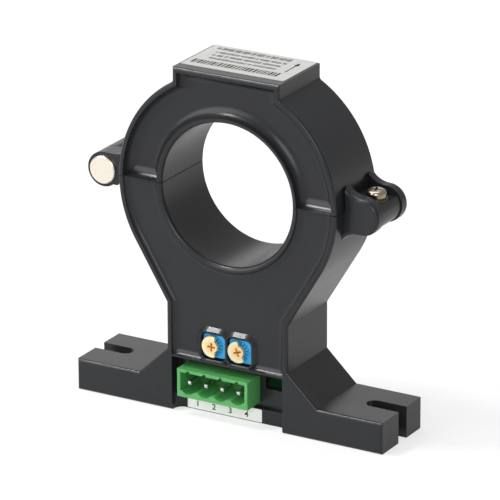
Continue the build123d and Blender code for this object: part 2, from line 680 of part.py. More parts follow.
def make_hall_element():
    case = Box(HALL_THICKNESS, HALL_WIDTH, HALL_HEIGHT)
    case = chamfer(case.edges().filter_by(Axis.Z).group_by(Axis.X)[-1], HALL_THICKNESS * 0.3)
    return hall_place() * case


def make_hall_leads():
    centre = hall_place().position
    top = centre.Z - HALL_HEIGHT / 2
    leads = []
    for i in (-1, 0, 1):
        y = centre.Y + i * HALL_LEAD_PITCH
        leads.append(block(-HALL_LEAD / 2, HALL_LEAD / 2, y - HALL_LEAD / 2, y + HALL_LEAD / 2,
                           BOARD_TOP_Z - HALL_LEAD_OVERLAP, top))
    return Compound(children=leads)


# Board

def make_circuit_board():
    board = block(-BOARD_HALF, BOARD_HALF, BOARD_FRONT_Y, BOARD_BACK_Y, WALL + BOARD_BOTTOM_GAP,
                  BOARD_TOP_Z)
    board -= block(-HALL_NOTCH / 2, HALL_NOTCH / 2, BOARD_FRONT_Y - 1, BOARD_BACK_Y + 1,
                   BOARD_TOP_Z - HALL_LEAD_OVERLAP - HALL_NOTCH / 2, BOARD_TOP_Z + 1)
    for x, z in POSTS:
        board -= rod(x, z, BOARD_SCREW_R + 2 * HEADER_GAP, BOARD_FRONT_Y - 1, BOARD_BACK_Y + 1)
    pin_hole = TERMINAL_PIN / 2 + HEADER_GAP
    for x in PIN_XS:
        board -= block(x - pin_hole, x + pin_hole, BOARD_FRONT_Y - 1, BOARD_BACK_Y + 1,
                       PIN_Z - pin_hole, PIN_Z + pin_hole)
    for x, z in lead_places():
        board -= rod(x, z, LEAD_R + HEADER_GAP, BOARD_FRONT_Y - 1, BOARD_BACK_Y + 1)
    return board


def make_board_screws():
    screws = []
    for x, z in POSTS:
        tip_y = BOARD_BACK_Y - BOARD_SCREW_LENGTH
        screw = rod(x, z, BOARD_SCREW_R - PIN_SEAT_GAP, tip_y, BOARD_BACK_Y)
        head = rod(x, z, BOARD_SCREW_HEAD_R, BOARD_BACK_Y, BOARD_BACK_Y + BOARD_SCREW_HEAD)
        head = chamfer(edges_at(head, BOARD_BACK_Y + BOARD_SCREW_HEAD), BOARD_SCREW_HEAD / 3)
        for turn in (0, 90):
            cross = Pos(x, BOARD_BACK_Y + BOARD_SCREW_HEAD, z) * Rot(0, turn, 0)
            head -= cross * Box(BOARD_SCREW_HEAD_R, BOARD_SCREW_HEAD, CROSS_WIDTH * 0.6)
        screws.append(screw + head)
    return Compound(children=screws)


def make_amplifier_chip():
    (x, z), (width, height, thickness) = CHIP_PLACE, CHIP_SIZE
    lift = 0.15
    case = block(x - width / 2, x + width / 2, BOARD_BACK_Y + lift, BOARD_BACK_Y + lift + thickness,
                 z - height / 2, z + height / 2)
    chip = case
    for i in range(CHIP_LEADS):
        lead_x = x + (i - (CHIP_LEADS - 1) / 2) * CHIP_LEAD_PITCH
        chip += block(lead_x - CHIP_LEAD_WIDTH / 2, lead_x + CHIP_LEAD_WIDTH / 2,
                      BOARD_BACK_Y, BOARD_BACK_Y + lift + 0.1,
                      z - height / 2 - CHIP_LEAD_REACH, z + height / 2 + CHIP_LEAD_REACH)
    return chip


def make_regulator_chip():
    (x, z), (width, height, thickness) = REGULATOR_PLACE, REGULATOR_SIZE
    chip = block(x - width / 2, x + width / 2, BOARD_BACK_Y, BOARD_BACK_Y + thickness,
                 z - height / 2, z + height / 2)
    chip = chamfer(edges_at(chip, BOARD_BACK_Y + thickness), thickness * 0.15)
    tab = block(x - width * 0.4, x + width * 0.4, BOARD_BACK_Y, BOARD_BACK_Y + 0.5,
                z, z + height / 2 + 1.2)
    chip += tab
    for i in (-1, 1):
        chip += block(x + i * 2.3 - 0.35, x + i * 2.3 + 0.35, BOARD_BACK_Y, BOARD_BACK_Y + 0.5,
                      z - height / 2 - 2.2, z)
    return chip


def make_capacitors():
    cans = []
    x = BOARD_HALF - CAPACITOR_INSET
    for z in CAPACITOR_Z:
        top_y = BOARD_BACK_Y + CAPACITOR_HEIGHT
        can = rod(x, z, CAPACITOR_R * 0.95, BOARD_BACK_Y, top_y)
        can = chamfer(edges_at(can, top_y), CAPACITOR_CHAMFER)
        base = rounded_square(x, z, 2 * CAPACITOR_R - 0.1, 2 * CAPACITOR_R - 0.1,
                              CAPACITOR_CHAMFER)
        cans.append(can + prism(base, BOARD_BACK_Y, BOARD_BACK_Y + CAPACITOR_BASE))
    return Compound(children=cans)


def make_chip_resistors():
    width, height, thickness = RESISTOR_SIZE
    pieces = []
    for i in range(RESISTOR_COUNT):
        x = -BOARD_HALF + RESISTOR_INSET + i * RESISTOR_PITCH
        pieces.append(block(x - width / 2, x + width / 2, BOARD_BACK_Y, BOARD_BACK_Y + thickness,
                            RESISTOR_Z - height / 2, RESISTOR_Z + height / 2))
    return Compound(children=pieces)


# Terminal header

def make_terminal_housing():
    """Open fronted shroud with keying notches over each pole and a scalloped floor."""
    x0, x1 = HEADER_X
    z0, z1 = HEADER_Z
    body = block(x0, x1, HEADER_FRONT_Y, BOARD_FRONT_Y, z0, z1)
    body -= block(x0 + HEADER_WALL, x1 - HEADER_WALL, HEADER_FRONT_Y - 1,
                  BOARD_FRONT_Y - HEADER_FLOOR, z0 + 2 * HEADER_WALL, z1 - HEADER_WALL)
    for x in PIN_XS:
        body -= Pos(x, HEADER_FRONT_Y, z1 - HEADER_WALL) * wedge_notch()
        half = SCALLOP_WIDTH / 2
        sag = HEADER_WALL * 1.05
        radius = (half ** 2 + sag ** 2) / (2 * sag)
        scallop = rod(x, z0 + 2 * HEADER_WALL - sag + radius, radius, HEADER_FRONT_Y - 1,
                      BOARD_FRONT_Y - HEADER_FLOOR)
        keep = block(x - half, x + half, HEADER_FRONT_Y - 1, BOARD_FRONT_Y, z0,
                     z0 + 2 * HEADER_WALL + 0.1)
        body -= scallop & keep
        hole = TERMINAL_PIN / 2 + TERMINAL_PIN_FIT
        body -= block(x - hole, x + hole, HEADER_FRONT_Y, BOARD_FRONT_Y + 1,
                      PIN_Z - hole, PIN_Z + hole)
    return body


def wedge_notch():
    """Keying notch in the header's top wall, shaped like an arrow head."""
    shape = Polygon((-KEY_WIDTH / 2, -0.1), (KEY_WIDTH / 2, -0.1), (KEY_WIDTH / 3, KEY_DEPTH / 2),
                    (0, KEY_DEPTH * 0.9), (-KEY_WIDTH / 3, KEY_DEPTH / 2), align=None)
    return prism(shape, -1, KEY_LENGTH)


def make_terminal_pin(x):
    half = TERMINAL_PIN / 2
    y0 = HEADER_FRONT_Y + TERMINAL_PIN_SETBACK
    pin = block(x - half, x + half, y0, BOARD_BACK_Y + TERMINAL_PIN_TAIL, PIN_Z - half, PIN_Z + half)
    return chamfer(edges_at(pin, y0), half * 0.5)


# Trimmers

def make_trimmer_base(x):
    """Square case with radial ticks on its face and a hole for the rotor's stem."""
    base = prism(rounded_square(x, TRIMMER_Z, TRIMMER_WIDTH, TRIMMER_HEIGHT, TRIMMER_CORNER),
                 TRIMMER_FACE_Y, TRIMMER_BACK_Y)
    centre = Pos(x + ROTOR_SHIFT, TRIMMER_Z)
    for i in range(TICKS):
        turn = TICK_ARC * (i / (TICKS - 1) - 0.5)
        tick = Pos(TICK_IN_R + TICK_LENGTH / 2, 0) * Rectangle(TICK_LENGTH, TICK_WIDTH)
        base += prism(centre * Rot(0, 0, turn) * tick, TRIMMER_FACE_Y - TICK_HEIGHT, TRIMMER_FACE_Y)
    base -= rod(x + ROTOR_SHIFT, TRIMMER_Z, STEM_R + STEM_GAP, TRIMMER_FACE_Y - 1,
                TRIMMER_FACE_Y + STEM_LENGTH + STEM_GAP)
    return base


def make_trimmer_rotor(x, turn):
    """Rotor plate with one side cut away, and a hub with a cross slot for a screwdriver."""
    place = Pos(x + ROTOR_SHIFT, TRIMMER_Z) * Rot(0, 0, turn)
    plate = Circle(ROTOR_R) - Pos(ROTOR_CUT + ROTOR_R, 0) * Rectangle(2 * ROTOR_R, 4 * ROTOR_R)
    rotor = prism(place * plate, ROTOR_FACE_Y, ROTOR_FACE_Y + ROTOR_PLATE)
    rotor += prism(place * Circle(HUB_R), ROTOR_FACE_Y - HUB_PROUD,
                   ROTOR_FACE_Y + ROTOR_PLATE + ROTOR_LIFT / 2)
    rotor += prism(place * Circle(STEM_R), ROTOR_FACE_Y, TRIMMER_FACE_Y + STEM_LENGTH)
    for side in (0, 90):
        cross = place * Rot(0, 0, side) * Rectangle(CROSS_SPAN, CROSS_CUT)
        rotor -= prism(cross, ROTOR_FACE_Y - 1, ROTOR_FACE_Y + ROTOR_PLATE)
    return rotor


def lead_places():
    return [(x + i * LEAD_SPREAD, TRIMMER_Z + (1 if i == 0 else -1) * LEAD_SPREAD / 2)
            for x in TRIMMER_X for i in (-1, 0, 1)]


def make_trimmer_leads():
    leads = [rod(x, z, LEAD_R, TRIMMER_BACK_Y, BOARD_BACK_Y + TERMINAL_PIN_TAIL / 2)
             for x, z in lead_places()]
    return Compound(children=leads)


# Labels

def make_top_label():
    length = HEAD_WIDTH - 2 * TOP_LABEL_SIDE_MARGIN
    centre_y = BACK - TOP_LABEL_BACK_MARGIN - TOP_LABEL_WIDTH / 2
    plate = RectangleRounded(length, TOP_LABEL_WIDTH, LABEL_CORNER)
    plate = Pos(0, centre_y, HEAD_TOP_Z) * plate
    return extrude(plate, LABEL_THICKNESS)


def make_terminal_label():
    x0, x1 = TERMINAL_LABEL_X
    z0, z1 = TERMINAL_LABEL_MARGIN, STRIP_HEIGHT - TERMINAL_LABEL_MARGIN
    plate = rounded_square((x0 + x1) / 2, (z0 + z1) / 2, x1 - x0, z1 - z0, LABEL_CORNER)
    return prism(plate, STRIP_Y - LABEL_THICKNESS, STRIP_Y)


def main():
    nodes = {
        "lower_housing": make_lower_housing(),
        "lower_back_cover": make_lower_back_cover(),
        "upper_housing": make_upper_housing(),
        "upper_back_cover": make_upper_back_cover(),
        "hinge_pin": make_hinge_pin(),
        "hinge_clip": make_hinge_clip(),
        "clamp_screw": make_clamp_screw(),
        "flat_washer": make_flat_washer(),
        "spring_washer": make_spring_washer(),
        "clamp_insert": make_clamp_insert(),
        "core_upper": make_core_upper(),
        "core_lower_left": make_core_lower(-1),
        "core_lower_right": make_core_lower(1),
        "hall_element": make_hall_element(),
        "hall_leads": make_hall_leads(),
        "circuit_board": make_circuit_board(),
        "board_screws": make_board_screws(),
        "amplifier_chip": make_amplifier_chip(),
        "regulator_chip": make_regulator_chip(),
        "capacitors": make_capacitors(),
        "chip_resistors": make_chip_resistors(),
        "terminal_housing": make_terminal_housing(),
        "trimmer_zero_base": make_trimmer_base(TRIMMER_X[0]),
        "trimmer_zero_rotor": make_trimmer_rotor(TRIMMER_X[0], 0),
        "trimmer_span_base": make_trimmer_base(TRIMMER_X[1]),
        "trimmer_span_rotor": make_trimmer_rotor(TRIMMER_X[1], SPAN_TURN),
        "trimmer_leads": make_trimmer_leads(),
        "top_label": make_top_label(),
        "terminal_label": make_terminal_label(),
    }
    for i, x in enumerate(PIN_XS):
        nodes[f"terminal_pin_{i + 1}"] = make_terminal_pin(x)
    os.makedirs("parts", exist_ok=True)
    for name, solid in nodes.items():
        export_step(solid, f"parts/{name}.step")
        print(f"{name}: {len(solid.solids())} solid, {solid.volume:.1f} mm3")


main()
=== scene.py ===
# %% [markdown]
# # A split ring current sensor
# The sensor clips round a cable: a black moulded ring in two halves, a hinge on the left, a
# screwed clasp on the right, and a green plug header in the pillar. The solids come from the
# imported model, and this script gives them their finishes, adds the small printed and turned
# details, and sets up the studio.

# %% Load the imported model
import json
import math
import random

import bmesh
import bpy
from mathutils import Matrix, Vector


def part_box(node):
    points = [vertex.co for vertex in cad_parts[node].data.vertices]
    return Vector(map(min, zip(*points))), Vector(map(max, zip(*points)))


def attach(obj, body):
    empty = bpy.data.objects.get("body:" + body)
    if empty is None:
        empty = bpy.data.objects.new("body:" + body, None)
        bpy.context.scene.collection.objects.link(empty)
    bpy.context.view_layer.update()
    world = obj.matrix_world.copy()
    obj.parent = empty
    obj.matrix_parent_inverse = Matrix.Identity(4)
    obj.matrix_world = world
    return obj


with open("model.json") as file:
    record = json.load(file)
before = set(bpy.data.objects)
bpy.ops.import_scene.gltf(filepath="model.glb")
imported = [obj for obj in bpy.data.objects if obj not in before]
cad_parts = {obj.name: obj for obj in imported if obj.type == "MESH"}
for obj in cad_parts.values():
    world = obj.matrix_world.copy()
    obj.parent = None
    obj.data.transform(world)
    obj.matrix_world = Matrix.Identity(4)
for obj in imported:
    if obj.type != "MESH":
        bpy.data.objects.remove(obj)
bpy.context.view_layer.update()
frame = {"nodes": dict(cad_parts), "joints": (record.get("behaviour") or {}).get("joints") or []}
nodes = frame["nodes"]
MM = 0.001


# %% [markdown]
# Colours are written as the hex values that a paint card would give. Blender works in linear
# light, so one function turns them round. The other helpers start a new material, add one
# shader node with its settings and links, and make the patterns that several finishes share.

# %% Colour and node helpers
def linear(hex_colour):
    """Linear light of an sRGB hex value, with an alpha of 1."""
    channels = [int(hex_colour[i:i + 2], 16) / 255 for i in (1, 3, 5)]
    return (*(c / 12.92 if c <= 0.04045 else ((c + 0.055) / 1.055) ** 2.4 for c in channels), 1.0)


def add(tree, kind, settings=None, **links):
    """Adds one node. settings sets its own options, and each link is a value or a socket.

    A link has its input's name, or i0 and i1 for the inputs of a maths node, whose names repeat.
    """
    node = tree.nodes.new(kind)
    for option, value in (settings or {}).items():
        setattr(node, option, value)
    for link, value in links.items():
        numbered = link[0] == "i" and link[1:].isdigit()
        socket = node.inputs[int(link[1:]) if numbered else link.replace("_", " ")]
        if isinstance(value, bpy.types.NodeSocket):
            tree.links.new(value, socket)
        else:
            socket.default_value = value
    return node


def new_material(name, hex_colour, roughness, metallic=0.0, **sockets):
    material = bpy.data.materials.new(name)
    material.use_nodes = True
    shader = material.node_tree.nodes["Principled BSDF"]
    shader.inputs["Base Color"].default_value = linear(hex_colour)
    shader.inputs["Roughness"].default_value = roughness
    shader.inputs["Metallic"].default_value = metallic
    for socket, value in sockets.items():
        shader.inputs[socket.replace("_", " ")].default_value = value
    material.diffuse_color = linear(hex_colour)
    return material, material.node_tree, shader


def position(tree):
    return add(tree, "ShaderNodeTexCoord").outputs["Object"]


def noise(tree, size_mm, detail=2.0):
    """Noise whose grains are about size_mm across."""
    return add(tree, "ShaderNodeTexNoise", Vector=position(tree), Scale=1 / (size_mm * MM),
               Detail=detail).outputs["Fac"]


def spread(tree, factor, low, high, start=0.3, end=0.7):
    """Turns a pattern that runs from start to end into a number between low and high."""
    return add(tree, "ShaderNodeMapRange", Value=factor, From_Min=start, From_Max=end,
               To_Min=low, To_Max=high).outputs["Result"]


def blend_colours(tree, factor, hex_a, hex_b):
    mix = add(tree, "ShaderNodeMix", {"data_type": "RGBA"})
    tree.links.new(factor, mix.inputs["Factor"])
    mix.inputs["A"].default_value = linear(hex_a)
    mix.inputs["B"].default_value = linear(hex_b)
    return mix.outputs["Result"]


def bump(tree, shader, height, distance_mm):
    node = add(tree, "ShaderNodeBump", Height=height, Distance=distance_mm * MM)
    tree.links.new(node.outputs["Normal"], shader.inputs["Normal"])


def finish_nodes(material, *names):
    """Gives the named CAD nodes this material."""
    for name in names:
        slots = nodes[name].data.materials
        for i in range(len(slots)):
            slots[i] = material
    print(material.name, "on", *names)


# %% [markdown]
# The housing is black ABS, injection moulded in a fine spark eroded tool. Its skin has a very
# fine grain, and its gloss drifts a little over a few millimetres where the melt cooled
# unevenly. A picture of the skin would show seams on these solids, so noise in real
# millimetres gives both. The real grain is about 0.05 mm across and wouldn't show, so it is
# drawn at 0.3 mm with a very low height, which keeps the highlights on the coves smooth.

# %% Moulded black housing
GRAIN_MM = 0.3
GRAIN_HEIGHT_MM = 0.0003
FLOW_MM = 9.0

black_abs, tree, shader = new_material("moulded_black_abs", "#202124", roughness=0.28, IOR=1.53,
                                       Specular_IOR_Level=0.31)
flow = noise(tree, FLOW_MM, detail=3.0)
tree.links.new(blend_colours(tree, flow, "#1e1f21", "#232427"), shader.inputs["Base Color"])
tree.links.new(spread(tree, flow, 0.27, 0.3), shader.inputs["Roughness"])
bump(tree, shader, noise(tree, GRAIN_MM, detail=1.0), GRAIN_HEIGHT_MM)
finish_nodes(black_abs, "lower_housing", "upper_housing", "lower_back_cover", "upper_back_cover")
print("housing grain:", GRAIN_MM, "mm")


# %% [markdown]
# The plug header is green polyamide, glossy on its flat walls. A thin wall lets a little light
# through, so it glows at its edges. A paler green would do that only in one light, so a small
# amount of subsurface scattering is used, which goes furthest in green.

# %% Green polyamide header
HEADER_SHADE_MM = 5.0
HEADER_GRAIN_MM = 0.4
HEADER_GRAIN_HEIGHT_MM = 0.004
GLOW_SHARE = 0.12
GLOW_DEPTH_MM = 0.8

green_pa, tree, shader = new_material("moulded_green_polyamide", "#4e9a56", roughness=0.3, IOR=1.53)
shade = noise(tree, HEADER_SHADE_MM)
tree.links.new(blend_colours(tree, shade, "#489450", "#56a25c"), shader.inputs["Base Color"])
shader.inputs["Subsurface Weight"].default_value = GLOW_SHARE
shader.inputs["Subsurface Radius"].default_value = (0.3, 1.0, 0.3)
shader.inputs["Subsurface Scale"].default_value = GLOW_DEPTH_MM * MM
bump(tree, shader, noise(tree, HEADER_GRAIN_MM), HEADER_GRAIN_HEIGHT_MM)
finish_nodes(green_pa, "terminal_housing")


# %% [markdown]
# The header's pins are brass, plated with tin: a dull silver metal with faint drawing marks
# along its length. The marks are noise that a Mapping node stretches along Y, the way in which
# the pins were drawn. The same function gives the other drawn, rolled and plated metals.

# %% Tinned brass pins and wires
MARK_STRETCH = (1.0, 0.06, 1.0)
MARK_HEIGHT_MM = 0.004


def drawn_metal(name, hex_a, hex_b, rough_low, rough_high, mark_mm):
    """Metal with fine marks along Y, in two near colours."""
    material, tree, shader = new_material(name, hex_a, rough_low, metallic=1.0)
    stretch = add(tree, "ShaderNodeMapping", Vector=position(tree), Scale=MARK_STRETCH)
    marks = add(tree, "ShaderNodeTexNoise", Vector=stretch.outputs["Vector"],
                Scale=1 / (mark_mm * MM), Detail=2.0).outputs["Fac"]
    tree.links.new(blend_colours(tree, marks, hex_a, hex_b), shader.inputs["Base Color"])
    tree.links.new(spread(tree, marks, rough_low, rough_high), shader.inputs["Roughness"])
    bump(tree, shader, marks, MARK_HEIGHT_MM)
    return material


tinned_brass = drawn_metal("tin_plated_brass", "#d8d8d6", "#c4c5c4", 0.22, 0.36, mark_mm=0.2)
finish_nodes(tinned_brass, "terminal_pin_1", "terminal_pin_2", "terminal_pin_3", "terminal_pin_4",
             "trimmer_leads", "hall_leads")


# %% [markdown]
# The hinge pin and the screws are steel with bright nickel plating, which is warmer than chrome.
# A turned face keeps very fine rings round its axis. They could be cut into the mesh, but a sine
# of the distance to the axis draws them at any size. That distance needs the axis, so each
# turned piece has its own copy of the finish with its own centre.

# %% Turned nickel plate
RING_HEIGHT_MM = 0.0015
WEAR_MM = 1.5
WEAR_ROUGHNESS = 0.08


def turned_metal(name, centre, axis, hex_a, hex_b, roughness, ring_mm):
    """Bright metal with turning rings round an axis, "Y" or "Z", through centre in metres."""
    material, tree, shader = new_material(name, hex_a, roughness, metallic=1.0)
    place = add(tree, "ShaderNodeMapping", Vector=position(tree), Location=tuple(-c for c in centre))
    parts = add(tree, "ShaderNodeSeparateXYZ", Vector=place.outputs["Vector"])
    other = "Z" if axis == "Y" else "Y"
    flat = add(tree, "ShaderNodeCombineXYZ", X=parts.outputs["X"], Y=parts.outputs[other])
    reach = add(tree, "ShaderNodeVectorMath", {"operation": "LENGTH"}, i0=flat.outputs["Vector"])
    turns = add(tree, "ShaderNodeMath", {"operation": "MULTIPLY"}, i0=reach.outputs["Value"],
                i1=2 * math.pi / (ring_mm * MM))
    rings = add(tree, "ShaderNodeMath", {"operation": "SINE"}, i0=turns.outputs["Value"])
    wear = noise(tree, WEAR_MM)
    tree.links.new(blend_colours(tree, wear, hex_a, hex_b), shader.inputs["Base Color"])
    tree.links.new(spread(tree, wear, roughness, roughness + WEAR_ROUGHNESS),
                   shader.inputs["Roughness"])
    bump(tree, shader, rings.outputs["Value"], RING_HEIGHT_MM)
    return material


def middle_of(name):
    low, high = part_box(name)
    return (low + high) / 2


nickel_pin = turned_metal("bright_nickel_turned_pin", middle_of("hinge_pin"), "Y",
                          "#fbf3e5", "#f0e7d7", roughness=0.24, ring_mm=0.25)
finish_nodes(nickel_pin, "hinge_pin")
nickel_screw = turned_metal("bright_nickel_screw", middle_of("clamp_screw"), "Z",
                            "#b3a998", "#857b69", roughness=0.2, ring_mm=0.2)
finish_nodes(nickel_screw, "clamp_screw", "board_screws")


# %% [markdown]
# The flat washer has a yellow passivated zinc plating, and the split spring washer and the snap
# ring on the hinge are darkened spring steel. The clasp's insert is turned brass. These pieces
# are small, so the drawn metal's marks are enough for each of them.

# %% Washers, snap ring and insert
yellow_zinc = drawn_metal("yellow_passivated_zinc", "#ab9263", "#87714a", 0.3, 0.42, mark_mm=0.5)
finish_nodes(yellow_zinc, "flat_washer")
spring_steel = drawn_metal("blackened_spring_steel", "#6f6d69", "#5a5855", 0.32, 0.45, mark_mm=0.4)
finish_nodes(spring_steel, "spring_washer", "hinge_clip")
turned_brass = drawn_metal("turned_brass_insert", "#cda862", "#b8924e", 0.26, 0.36, mark_mm=0.3)
finish_nodes(turned_brass, "clamp_insert")


# %% [markdown]
# The two trimmers are small resistors that a screwdriver sets, one for zero and one for span.
# Their cases are blue polyester with raised ticks round the rotor. The grooves between the ticks
# are too fine to model, so their shade is painted in the finish as dark blue, from the angle and
# the distance to the rotor's axis. That axis comes from the joint, so each case has its own copy.

# %% Blue cases with painted shade between the ticks
SMALL_GRAIN_MM = 0.25
TICK_SHADE_RING_MM = (1.9, 3.1)
TICK_SHADE_BLUR_MM = 0.15
TICK_ARC = 130
TICK_GAPS = 6
TICK_STEP = math.radians(TICK_ARC / TICK_GAPS)
# A cosine is 1 on each tick. The painted shade is darkest under the first value and ends at the
# second.
TICK_SHADE_WAVE = (-0.9, -0.2)
CASE_GRAIN_HEIGHT_MM = 0.003


def joint_place(body):
    """Place of the joint that moves this body, in metres."""
    return next(j for j in frame["joints"] if j["child"] == body)["pos_m"]


def rotor_offsets(tree, body):
    """X and Z sockets of the distance to a rotor's axis, and its length."""
    x, _, z = joint_place(body)
    away = add(tree, "ShaderNodeVectorMath", {"operation": "SUBTRACT"}, i0=position(tree),
               i1=(x, 0.0, z))
    parts = add(tree, "ShaderNodeSeparateXYZ", Vector=away.outputs["Vector"])
    flat = add(tree, "ShaderNodeCombineXYZ", X=parts.outputs["X"], Z=parts.outputs["Z"])
    reach = add(tree, "ShaderNodeVectorMath", {"operation": "LENGTH"}, i0=flat.outputs["Vector"])
    return parts.outputs["X"], parts.outputs["Z"], reach.outputs["Value"]


def marked_case(name, body):
    """Blue case with painted shade in the grooves between its raised ticks."""
    material, tree, shader = new_material(name, "#1e94c9", roughness=0.36, IOR=1.5)
    across, up, reach = rotor_offsets(tree, body)
    turn = add(tree, "ShaderNodeMath", {"operation": "ARCTAN2"}, i0=up, i1=across)
    steps = add(tree, "ShaderNodeMath", {"operation": "MULTIPLY"}, i0=turn.outputs["Value"],
                i1=2 * math.pi / TICK_STEP)
    wave = add(tree, "ShaderNodeMath", {"operation": "COSINE"}, i0=steps.outputs["Value"])
    # marks is the mask of the painted shade between the ticks
    marks = spread(tree, wave.outputs["Value"], 1.0, 0.0, start=TICK_SHADE_WAVE[0], end=TICK_SHADE_WAVE[1])
    inner = spread(tree, reach, 0.0, 1.0, start=TICK_SHADE_RING_MM[0] * MM,
                   end=(TICK_SHADE_RING_MM[0] + TICK_SHADE_BLUR_MM) * MM)
    outer = spread(tree, reach, 1.0, 0.0, start=(TICK_SHADE_RING_MM[1] - TICK_SHADE_BLUR_MM) * MM,
                   end=TICK_SHADE_RING_MM[1] * MM)
    ring = add(tree, "ShaderNodeMath", {"operation": "MULTIPLY"}, i0=inner, i1=outer)
    share = add(tree, "ShaderNodeMath", {"operation": "MULTIPLY"}, i0=ring.outputs["Value"],
                i1=marks)
    # The dark blue is painted shade, laid on where the mask is 1
    tree.links.new(blend_colours(tree, share.outputs["Value"], "#1e98cf", "#0a4f80"),
                   shader.inputs["Base Color"])
    bump(tree, shader, noise(tree, SMALL_GRAIN_MM), CASE_GRAIN_HEIGHT_MM)
    return material


finish_nodes(marked_case("moulded_blue_polyester", "zero_rotor"), "trimmer_zero_base")
finish_nodes(marked_case("glazed_blue_polyester", "span_rotor"), "trimmer_span_base")
# The angle printed here is the step of the ticks and of the painted shade between them
print("trimmer marks every", round(math.degrees(TICK_STEP), 2), "degrees")


# %% [markdown]
# The rotors are thin cream polyamide, and look warmer near the axis, where the brass behind them
# shines through. Real light through so thin a plate is slow to render, so that light is painted
# instead: the distance to the axis blends a warm colour into the cream.

# %% Cream rotors
PAINTED_GLOW_MM = (0.9, 2.3)
SMALL_GRAIN_HEIGHT_MM = 0.004


def rotor_plastic(name, body, hex_rim, hex_painted_glow):
    """Thin cream plastic, with the light of the brass behind it painted in as a warmer colour near
    its axis.
    """
    material, tree, shader = new_material(name, hex_rim, roughness=0.45, IOR=1.5)
    _, _, reach = rotor_offsets(tree, body)
    rim_share = spread(tree, reach, 0.0, 1.0, start=PAINTED_GLOW_MM[0] * MM, end=PAINTED_GLOW_MM[1] * MM)
    tree.links.new(blend_colours(tree, rim_share, hex_painted_glow, hex_rim), shader.inputs["Base Color"])
    bump(tree, shader, noise(tree, SMALL_GRAIN_MM), SMALL_GRAIN_HEIGHT_MM)
    return material


finish_nodes(rotor_plastic("moulded_cream_polyamide", "zero_rotor", "#e0cfa4", "#dcae70"),
             "trimmer_zero_rotor")
finish_nodes(rotor_plastic("aged_cream_polyamide", "span_rotor", "#cdc7a6", "#d8ac6e"),
             "trimmer_span_rotor")


# %% [markdown]
# Inside stand the board, its parts and the core. They show only through the openings in the
# bay, or at the ends of the core when the ring is opened, so plain mottled plastics and drawn
# metal do for most of them. The core is wound from thin strip, so its end faces show fine
# layers, which the turned finish draws 0.3 mm apart round the bore.

# %% Board, chips and core
CORE_LAYER_MM = 0.3
MOTTLE_ROUGHNESS = (-0.04, 0.05)


def moulded_plastic(name, hex_a, hex_b, roughness, mottle_mm):
    """Plastic, film or ink in two near colours, with a fine grain."""
    material, tree, shader = new_material(name, hex_a, roughness, IOR=1.5)
    mottle = noise(tree, mottle_mm)
    tree.links.new(blend_colours(tree, mottle, hex_a, hex_b), shader.inputs["Base Color"])
    tree.links.new(spread(tree, mottle, roughness + MOTTLE_ROUGHNESS[0],
                          roughness + MOTTLE_ROUGHNESS[1]), shader.inputs["Roughness"])
    bump(tree, shader, noise(tree, SMALL_GRAIN_MM), SMALL_GRAIN_HEIGHT_MM)
    return material


board_green = moulded_plastic("solder_mask_on_glass_epoxy", "#1d5a34", "#21633a", 0.35, 0.8)
finish_nodes(board_green, "circuit_board")
chip_black = moulded_plastic("moulded_black_epoxy", "#1b1b1c", "#222224", 0.55, 0.6)
finish_nodes(chip_black, "amplifier_chip", "regulator_chip", "hall_element", "chip_resistors")
can_metal = drawn_metal("drawn_aluminium_can", "#c9cbce", "#b7babd", 0.28, 0.4, mark_mm=0.6)
finish_nodes(can_metal, "capacitors")

# The ring splits through the middle of its bore, so the hinge is as high as the bore's axis.
bore_axis = Vector((0.0, 0.0, joint_place("upper_half")[2]))
core_steel = turned_metal("wound_silicon_steel_strip", bore_axis, "Y", "#7d7f84", "#66686c",
                          roughness=0.38, ring_mm=CORE_LAYER_MM)
finish_nodes(core_steel, "core_upper", "core_lower_left", "core_lower_right")


# %% [markdown]
# The label on the head is a satin silver film, and the strip under the header is a white one.
# The silver is a thin metal layer under clear film, so it is only part metallic and doesn't
# mirror the room. The ink is a matt grey or black.

# %% Label films and inks
FILM_SHADE_MM = 3.0
FILM_GRAIN_MM = 0.3
FILM_GRAIN_HEIGHT_MM = 0.002

silver_film, tree, shader = new_material("satin_silver_film", "#b6b6b3", roughness=0.36,
                                         metallic=0.35)
tree.links.new(blend_colours(tree, noise(tree, FILM_SHADE_MM), "#b2b2af", "#bcbcb9"),
               shader.inputs["Base Color"])
bump(tree, shader, noise(tree, FILM_GRAIN_MM), FILM_GRAIN_HEIGHT_MM)
finish_nodes(silver_film, "top_label")
white_film = moulded_plastic("matt_white_film", "#eeeeec", "#f4f4f2", 0.5, 2.0)
finish_nodes(white_film, "terminal_label")
grey_ink = moulded_plastic("grey_thermal_print", "#48494d", "#545559", 0.5, 0.6)
black_ink = moulded_plastic("black_screen_print", "#2c2c2e", "#38383a", 0.5, 0.6)
print("inks:", grey_ink.name, "and", black_ink.name)


# %% [markdown]
# The print and the wipers are new pieces. Each print is a sheet of ink 0.02 mm thick that lies
# on its film, not a picture, so that it stays sharp from near. Every new piece is built at its
# place in the model and then rides on the body that carries it, so that it moves with the ring
# or the rotor.

# %% Helpers for new pieces
INK = 0.02 * MM


def place_piece(mesh, name, material, body):
    """Makes a finished mesh a piece that rides on a body."""
    mesh.materials.clear()
    mesh.materials.append(material)
    piece = bpy.data.objects.new(name, mesh)
    bpy.context.scene.collection.objects.link(piece)
    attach(piece, body)
    print(name, "faces:", len(mesh.polygons))


def piece_from_edit(mesh_edit, name, material, body):
    """Turns a finished bmesh into a piece that rides on a body."""
    mesh = bpy.data.meshes.new(name)
    bmesh.ops.recalc_face_normals(mesh_edit, faces=mesh_edit.faces[:])
    mesh_edit.to_mesh(mesh)
    mesh_edit.free()
    place_piece(mesh, name, material, body)


